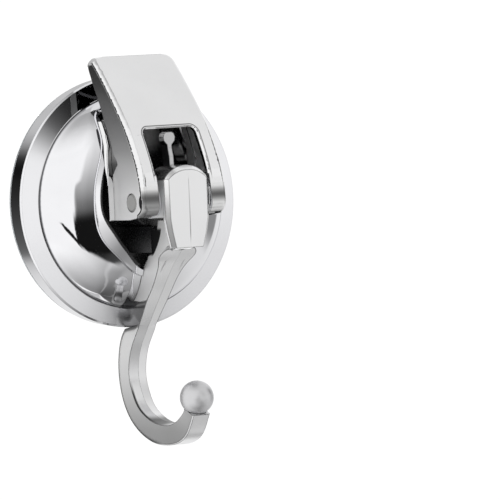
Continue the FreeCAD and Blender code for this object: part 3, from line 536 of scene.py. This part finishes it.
# foot of the arms: an arc of 3.7 mm round the line F 25.71, z -0.666
ARC = (25.71, -0.666, 3.70)
for k in range(0, 11):
    t = math.radians(4.0 - 7.7 * k)
    part = [f for f in bm.faces if f.calc_center_median().y < -(ARC[0] + 6.8) * MM and f.calc_center_median().z < 0.2 * MM]
    geom = list({v for f in part for v in f.verts}) + list({e for f in part for e in f.edges}) + part
    bmesh.ops.bisect_plane(bm, geom=geom, plane_co=(0, -(ARC[0] + 6.8) * MM, ARC[1] * MM), plane_no=(0, math.sin(t), math.cos(t)), dist=1e-6)
for v in bm.verts:
    x, f, z = v.co.x / MM, -v.co.y / MM - 6.8, v.co.z / MM
    half = table(z, [(4.0, 13.85), (37.3, 13.4)])
    inside = abs(x) < half - 1.78
    if inside and z > -0.45 and z < 39.0 and abs(f - front_at(max(z, -0.4))) < 0.4:
        v.co.y = -(front_at(z) + 6.8) * MM
    elif inside and z <= -0.45 and f > ARC[0] - 0.1 and z < ARC[1] + 0.3:
        df, dz = f - ARC[0], z - ARC[1]
        rr = math.hypot(df, dz)
        if abs(rr - ARC[2]) < 0.25:
            v.co.y, v.co.z = -(ARC[0] + df * ARC[2] / rr + 6.8) * MM, (ARC[1] + dz * ARC[2] / rr) * MM
    if abs(x) > 12.2 and 11.2 < z < 36.0 and abs(f - rear_at(z)) < 0.3:
        v.co.y += table(z, [(11.2, 0.0), (13.0, 1.5), (15.0, 1.9), (22.0, 1.9), (25.0, 1.4), (30.0, 0.8), (35.0, 0.0)]) * MM
for v in bm.verts:
    x, f, z = v.co.x / MM, -v.co.y / MM - 6.8, v.co.z / MM
    half = table(z, [(4.0, 13.85), (37.3, 13.4)])
    if abs(abs(x) - half) < 0.03:
        lean = math.tan(math.radians(table(z, [(-5.0, 1.75), (0.0, 1.75), (6.0, 2.1), (12.0, 2.5), (20.0, 2.9), (30.0, 3.2), (38.0, 3.7)])))
        deep = max(0.0, table(z, FRONT) - 1.5 - f)
        v.co.x -= math.copysign(deep * lean, x) * MM
bm.normal_update()
frame_edges = []
for e in bm.edges:
    if len(e.link_faces) != 2:
        continue
    a, b = e.link_faces[0].normal, e.link_faces[1].normal
    if a.angle(b, 0) < math.radians(40) or min(a.y, b.y) > -0.55:
        continue
    m = (e.verts[0].co + e.verts[1].co) / 2 / MM
    on_side = abs(abs(m.x) - 8.5) < 0.12 and 6.6 < m.z < 18.4
    on_top = abs(m.z - 19.8) < 0.12 and abs(m.x) < 7.1
    at_corner = 6.8 < abs(m.x) < 8.6 and 18.0 < m.z < 19.9
    if (on_side or on_top or at_corner) and -m.y - 6.8 > table(m.z, FRONT) - 1.0:
        frame_edges.append(e)
bmesh.ops.bevel(bm, geom=frame_edges, offset=0.5 * MM, segments=1, affect="EDGES", clamp_overlap=False)
bmesh.ops.remove_doubles(bm, verts=bm.verts[:], dist=0.004 * MM)
bmesh.ops.dissolve_degenerate(bm, edges=bm.edges[:], dist=0.004 * MM)
bm.normal_update()
# the rear edge of each flange is turned outwards in a narrow lip
for sx in (-1, 1):
    rows = []
    for f, z, w, c, h in ((13.45, -4.75, 15.0, 0.0, 0.55), (13.45, 4.1, 15.0, 0.0, 0.55), (13.0, 6.6, 14.8, 0.15, 0.55), (12.1, 8.6, 14.65, 0.5, 0.65), (11.7, 10.5, 14.6, 0.6, 0.7), (11.7, 13.2, 14.6, 0.7, 0.75),
                          (11.7, 15.9, 14.6, 0.9, 0.92), (10.6, 18.7, 14.4, 0.9, 0.9), (9.2, 21.4, 14.2, 0.8, 0.8), (8.65, 22.5, 14.1, 0.7, 0.7)):
        rows.append([bm.verts.new((sx * x * MM, -(ff + 6.8) * MM, z * MM)) for x, ff in ((12.3, f), (w, f), (w - c, f + h), (12.3, f + h))])
    strip = []
    for a, b in zip(rows[:-1], rows[1:]):
        for i in range(4):
            j = (i + 1) % 4
            strip.append(bm.faces.new((a[i], a[j], b[j], b[i])))
    strip.append(bm.faces.new(rows[0][::-1]))
    strip.append(bm.faces.new(rows[-1]))
    bmesh.ops.recalc_face_normals(bm, faces=strip)
    panel, plate = [], []
    for z, f0, f1 in ((5.0, 13.4, 14.0), (6.6, 13.1, 14.4), (9.2, 12.5, 15.6), (10.7, 12.45, 16.4), (12.0, 12.4, 16.0), (15.3, 11.7, 14.4), (17.3, 11.0, 13.6), (19.0, 10.3, 12.8), (21.2, 9.3, 11.8), (23.0, 8.5, 10.9)):
        panel.append([bm.verts.new((sx * x * MM, -(ff + 6.8) * MM, z * MM)) for x, ff in ((12.1, f0), (12.6, f0), (12.6, f1), (12.1, f1))])
    for a, b in zip(panel[:-1], panel[1:]):
        for i in range(4):
            j = (i + 1) % 4
            plate.append(bm.faces.new((a[i], a[j], b[j], b[i])))
    plate += [bm.faces.new(panel[0][::-1]), bm.faces.new(panel[-1])]
    bmesh.ops.recalc_face_normals(bm, faces=plate)
    along = [e for f in strip for e in f.edges if abs(e.verts[0].co.x - e.verts[1].co.x) < 0.7 * MM and abs(e.verts[0].co.x) > 13.6 * MM and e.calc_length() > 0.9 * MM]
    bmesh.ops.bevel(bm, geom=list(set(along)), offset=0.16 * MM, segments=2, affect="EDGES", clamp_overlap=True)
lever_fine = finish_piece("lever_plate", ["lever"], me, bm, "lever", M["lever"])

# ---------------------------------------------------------------- studio
world = bpy.data.worlds.new("studio")
scene.world = world
world.use_nodes = True
wt = world.node_tree
bg = next(n for n in wt.nodes if n.type == "BACKGROUND")
out = next(n for n in wt.nodes if n.type == "OUTPUT_WORLD")
tc = node(wt, "ShaderNodeTexCoord")
sep = node(wt, "ShaderNodeSeparateXYZ")
link(wt, tc.outputs["Generated"], sep.inputs["Vector"])


def wmath(op, a, b=None, c=None):
    n = node(wt, "ShaderNodeMath", operation=op)
    for i, v in enumerate((a, b, c)):
        if v is None:
            continue
        if isinstance(v, (int, float)):
            n.inputs[i].default_value = v
        else:
            link(wt, v, n.inputs[i])
    return n.outputs["Value"]


X, Y, Z = sep.outputs["X"], sep.outputs["Y"], sep.outputs["Z"]
# azimuth measured from the front (-Y) towards +X, elevation above the horizon, both in degrees
az = wmath("MULTIPLY", wmath("ARCTAN2", X, wmath("MULTIPLY", Y, -1.0)), 57.2958)
el = wmath("MULTIPLY", wmath("ARCSINE", Z), 57.2958)


def smooth(v, a, b):
    n = node(wt, "ShaderNodeMapRange", interpolation_type="SMOOTHSTEP")
    n.inputs["From Min"].default_value = a
    n.inputs["From Max"].default_value = b
    link(wt, v, n.inputs["Value"])
    return n.outputs["Result"]


def window(v, lo, hi, soft_lo, soft_hi):
    return wmath("MULTIPLY", smooth(v, lo - soft_lo, lo + soft_lo), wmath("SUBTRACT", 1.0, smooth(v, hi - soft_hi, hi + soft_hi)))


def patch(a0, a1, sa, e0, e1, se0, se1=None):
    return wmath("MULTIPLY", window(az, a0, a1, sa, sa), window(el, e0, e1, se0, se1 or se0))


level = wmath("SUBTRACT", 1.0, 0.0)


def darken(level, mask, to):
    """level goes to `to` where mask is 1"""
    keep = wmath("SUBTRACT", 1.0, mask)
    return wmath("ADD", wmath("MULTIPLY", level, keep), wmath("MULTIPLY", mask, to))


def curve(v, v0, v1, pts, lo=0.0, hi=1.0):
    """a value drawn against v, from points (v, value)"""
    n = node(wt, "ShaderNodeFloatCurve")
    c = n.mapping.curves[0]
    norm = [((x - v0) / (v1 - v0), (y - lo) / (hi - lo)) for x, y in pts]
    c.points[0].location, c.points[1].location = norm[0], norm[-1]
    for p in norm[1:-1]:
        c.points.new(*p)
    n.mapping.update()
    link(wt, wmath("DIVIDE", wmath("SUBTRACT", v, v0), v1 - v0), n.inputs["Value"])
    return wmath("MULTIPLY_ADD", n.outputs["Value"], hi - lo, lo)


def mul(*m):
    out = m[0]
    for k in m[1:]:
        out = wmath("MULTIPLY", out, k)
    return out


def inv(m):
    return wmath("SUBTRACT", 1.0, m)


def blend(level, mask, value):
    """level goes to another value, itself a map, where mask is 1"""
    return wmath("ADD", mul(level, inv(mask)), mul(mask, value))


def polar(cx, cy, rx, ry, horizontal, turn=-1.0):
    """distance from a point of the room in ring units, and the angle about it: 0 to the left, + upwards"""
    u = wmath("MULTIPLY", wmath("SUBTRACT", horizontal, cx), turn / rx)
    v = wmath("DIVIDE", wmath("SUBTRACT", el, cy), ry)
    r = wmath("SQRT", wmath("ADD", wmath("MULTIPLY", u, u), wmath("MULTIPLY", v, v)))
    return r, wmath("MULTIPLY", wmath("ARCTAN2", v, u), 57.2958)


# the front box to the right is a little dimmer
level = darken(level, window(az, 2.0, 110.0, 6.0, 20.0), 0.84)
# ceiling: lighter over the right, falling off to the left
level = darken(level, smooth(el, 30.0, 60.0), 0.80)
top = mul(curve(el, 30.0, 90.0, [(30.0, 1.0), (42.0, 1.0), (48.0, 0.95), (54.0, 0.88), (60.0, 0.76), (66.0, 0.62), (74.0, 0.48), (90.0, 0.4)]),
          wmath("SUBTRACT", 1.0, wmath("MULTIPLY", smooth(az, -22.0, 2.0), 0.25)))
level = blend(level, mul(smooth(el, 34.0, 44.0), inv(smooth(az, 2.0, 10.0))), top)
# right wall, darker towards the floor, with a dark gap low beside the box
right_wall = curve(el, -60.0, 30.0, [(-60.0, 0.5), (-50.0, 0.55), (-38.0, 0.64), (-26.0, 0.74), (-14.0, 0.79), (-5.0, 0.85), (10.0, 0.93), (30.0, 0.95)])
level = blend(level, mul(smooth(az, 62.0, 74.0), inv(smooth(az, 124.0, 134.0)), inv(smooth(el, 8.0, 16.0))), right_wall)
level = darken(level, mul(window(az, 80.0, 102.0, 4.0, 5.0), window(el, -17.0, 6.0, 5.0, 4.0)), 0.26)
level = darken(level, mul(window(az, 68.0, 98.0, 3.0, 6.0), window(el, 9.0, 30.0, 4.0, 4.0)), 0.05)
# floor of the room: light near the left, darker under the object and to the right
low = mul(curve(el, -90.0, -30.0, [(-90.0, 0.22), (-80.0, 0.28), (-74.0, 0.36), (-68.0, 0.456), (-62.0, 0.55), (-56.0, 0.67), (-50.0, 0.79), (-44.0, 0.91), (-38.0, 1.0), (-30.0, 1.0)]),
          curve(az, -130.0, 130.0, [(-130.0, 1.0), (-60.0, 1.0), (-42.0, 0.95), (-24.0, 0.85), (-6.0, 0.62), (6.0, 0.43), (18.0, 0.36), (40.0, 0.35), (80.0, 0.37), (130.0, 0.37)]))
level = blend(level, mul(inv(smooth(el, -36.0, -28.0)), window(az, -132.0, 2.0, 6.0, 4.0)), low)
level = blend(level, mul(inv(smooth(el, -48.0, -38.0)), window(az, 2.0, 62.0, 4.0, 6.0)), low)
level = blend(level, mul(inv(smooth(el, -58.0, -48.0)), window(az, 62.0, 150.0, 6.0, 6.0)), low)
# low strip lights on the right, for faces that look down to the front
level = darken(level, mul(window(az, 46.0, 116.0, 4.0, 6.0), window(el, -77.0, -61.0, 2.5, 2.5)), 0.66)
level = darken(level, mul(window(az, 60.0, 96.0, 3.0, 5.0), window(el, -60.0, -51.0, 2.0, 2.0)), 0.88)
level = darken(level, mul(window(az, 18.0, 46.0, 4.0, 4.0), window(el, -66.0, -46.0, 3.0, 3.0)), 0.42)
# a ring about the right box
ring, around = polar(32.0, -0.8, 27.0, 23.3, az)
ring_tone = curve(around, -180.0, 180.0, [
    (-180.0, 0.89), (-170.0, 0.85), (-160.0, 0.80), (-150.0, 0.76), (-140.0, 0.735), (-130.0, 0.67), (-120.0, 0.60), (-110.0, 0.54), (-102.0, 0.36), (-96.0, 0.14), (-90.0, 0.10),
    (-85.0, 0.16), (-80.0, 0.28), (-74.0, 0.46), (-68.0, 0.64), (-60.0, 0.84), (-50.0, 0.86), (-30.0, 0.915), (20.0, 0.92), (26.0, 0.86), (30.0, 0.72), (36.0, 0.45), (42.0, 0.24),
    (48.0, 0.10), (54.0, 0.05), (60.0, 0.025), (72.0, 0.018), (78.0, 0.4), (84.0, 0.84), (140.0, 0.93), (180.0, 0.89)])
level = blend(level, window(ring, 0.84, 1.18, 0.05, 0.06), ring_tone)
# the tall dark screen left of the camera: a crescent about the front box
ddx = wmath("SUBTRACT", az, 32.0)
ddy = wmath("SUBTRACT", el, 3.0)
rho = wmath("SQRT", wmath("ADD", wmath("MULTIPLY", ddx, ddx), wmath("MULTIPLY", ddy, ddy)))
phi = wmath("MULTIPLY", wmath("ARCTAN2", ddy, wmath("MULTIPLY", ddx, -1.0)), 57.2958)      # 0 to the left, + upwards
tone = curve(phi, -80.0, 60.0, [(-80.0, 0.25), (-70.0, 0.22), (-64.0, 0.10), (-58.0, 0.06), (-52.0, 0.045), (-46.0, 0.02), (-40.0, 0.008), (-34.0, 0.006), (-28.0, 0.0075), (-22.0, 0.022),
                                (-16.0, 0.052), (-10.0, 0.12), (-4.0, 0.19), (2.0, 0.31), (8.0, 0.44), (14.0, 0.55), (20.0, 0.66), (26.0, 0.76), (32.0, 0.83), (38.0, 0.88), (44.0, 0.85), (50.0, 0.73), (60.0, 0.6)])
tone = mul(tone, wmath("MULTIPLY_ADD", smooth(rho, 48.5, 56.0), 0.28, 0.72))
edge = curve(phi, -80.0, 60.0, [(-80.0, 50.0), (-64.0, 52.0), (-58.0, 53.7), (-52.0, 55.8), (-46.0, 57.5), (-40.0, 59.5), (-34.0, 62.3), (-28.0, 64.0), (-22.0, 63.7), (-16.0, 60.3), (-10.0, 58.7),
                                (-4.0, 58.0), (2.0, 57.8), (8.0, 57.5), (14.0, 55.7), (38.0, 55.7), (60.0, 57.0)], 40.0, 70.0)
inner = curve(phi, -80.0, 60.0, [(-80.0, 48.5), (-66.0, 49.0), (-56.0, 51.0), (-46.0, 51.5), (-28.0, 51.3), (-20.0, 49.5), (-10.0, 48.5), (20.0, 48.0), (60.0, 46.0)], 30.0, 60.0)
past = smooth(wmath("SUBTRACT", rho, inner), -0.8, 0.8)
body = mul(inv(smooth(wmath("SUBTRACT", rho, edge), -0.9, 0.9)), past, window(phi, -68.0, 46.0, 5.0, 10.0))
lip_tone = curve(phi, -90.0, 60.0, [(-90.0, 0.36), (-82.0, 0.36), (-70.0, 0.30), (-58.0, 0.27), (-52.0, 0.31), (-46.0, 0.40), (-40.0, 0.53), (-34.0, 0.64), (-28.0, 0.74), (-22.0, 0.84),
                                    (-16.0, 0.97), (2.0, 1.0), (8.0, 0.97), (14.0, 0.84), (20.0, 0.76), (26.0, 0.72), (32.0, 0.64), (44.0, 0.6), (60.0, 0.55)])
level = blend(level, mul(inv(past), smooth(rho, 34.0, 37.0), window(phi, -86.0, 56.0, 3.0, 4.0)), lip_tone)
level = blend(level, body, tone)
fill = mul(window(az, -27.5, 2.0, 0.8, 6.0), inv(smooth(el, -14.0, -3.0)), past)
# its foot, a thin line that runs out to the left
foot = curve(az, -70.0, 10.0, [(-70.0, -8.0), (-55.0, -14.0), (-42.0, -20.5), (-30.0, -26.5), (-18.0, -31.0), (0.0, -38.0), (10.0, -42.0)], -60.0, 10.0)
dist = wmath("SUBTRACT", el, foot)
width = curve(az, -70.0, 10.0, [(-70.0, 0.0), (-55.0, 0.3), (-48.0, 2.0), (-30.0, 2.6), (10.0, 3.0)], 0.0, 6.0)
line = mul(inv(smooth(wmath("SUBTRACT", wmath("ABSOLUTE", dist), width), -0.8, 0.8)), window(az, -53.0, -22.0, 3.0, 6.0))
level = darken(level, mul(fill, smooth(dist, -0.6, 0.6)), 0.008)
level = darken(level, line, 0.008)
# wall behind, to the left
behind = wmath("ADD", inv(smooth(az, -155.5, -149.0)), smooth(az, 155.0, 170.0))
level = darken(level, behind, 0.55)
turned = wmath("ADD", az, wmath("MULTIPLY", wmath("LESS_THAN", az, 0.0), 360.0))
ring2, around2 = polar(176.5, 0.0, 26.5, 25.5, turned, 1.0)
wall_tone = curve(around2, -180.0, 180.0, [
    (-180.0, 0.5), (-165.0, 0.74), (-150.0, 0.80), (-132.0, 0.84), (-112.0, 0.83), (-97.0, 0.80), (-78.0, 0.75), (-62.0, 0.61), (-52.0, 0.35), (-42.0, 0.126), (-23.0, 0.072), (0.0, 0.034),
    (20.0, 0.016), (38.0, 0.013), (50.0, 0.12), (57.0, 0.28), (68.0, 0.45), (83.0, 0.545), (106.0, 0.53), (128.0, 0.57), (146.0, 0.53), (180.0, 0.5)])
level = blend(level, window(ring2, 0.7, 1.3, 0.06, 0.06), wall_tone)
bright = wmath("MULTIPLY", level, 1.0)
lp = node(wt, "ShaderNodeLightPath")
mix = node(wt, "ShaderNodeMix", data_type="FLOAT")
link(wt, lp.outputs["Is Camera Ray"], mix.inputs["Factor"])
link(wt, bright, mix.inputs["A"])
mix.inputs["B"].default_value = 1.05
link(wt, mix.outputs["Result"], bg.inputs["Strength"])
bg.inputs["Color"].default_value = (1, 1, 1, 1)

# pale floor, far below the wall hook
bpy.ops.mesh.primitive_plane_add(size=6.0, location=(0, 0, -0.45))
floor = bpy.context.object
floor.name = "floor"
fm, fnt, fp = new_mat("floor_pale")
fp.inputs["Base Color"].default_value = (0.93, 0.93, 0.93, 1)
fp.inputs["Roughness"].default_value = 0.9
fp.inputs["Emission Color"].default_value = (1, 1, 1, 1)
fp.inputs["Emission Strength"].default_value = 0.6
floor.data.materials.append(fm)
floor.visible_glossy = False

# ---------------------------------------------------------------- camera
AZ, EL, ROLL, DIST = -32.0, 1.2, -3.085, 1.5
PXMM, CX, CY = 3.605, 128.7, 201.1
a, e = math.radians(AZ), math.radians(EL)
back = Vector((math.sin(a) * math.cos(e), -math.cos(a) * math.cos(e), math.sin(e)))
right = Vector((math.cos(a), math.sin(a), 0))
up = back.cross(right)
r = math.radians(ROLL)
R = math.cos(r) * right + math.sin(r) * up
U = -math.sin(r) * right + math.cos(r) * up
origin = Vector((0, -6.8 * MM, 0))
cam_data = bpy.data.cameras.new("cam")
cam = bpy.data.objects.new("cam", cam_data)
scene.collection.objects.link(cam)
from mathutils import Matrix
rot = Matrix((R, U, back)).transposed()
cam.matrix_world = Matrix.Translation(origin + back * DIST) @ rot.to_4x4()
cam_data.sensor_width = 36.0
cam_data.sensor_fit = "HORIZONTAL"
width = 500.0 / PXMM * MM            # frame's width at the rim plane
cam_data.lens = 36.0 * DIST / width
cam_data.shift_x = (250.0 - CX) / 500.0
cam_data.shift_y = -(250.0 - CY) / 500.0
cam_data.clip_end = 50
scene.camera = cam
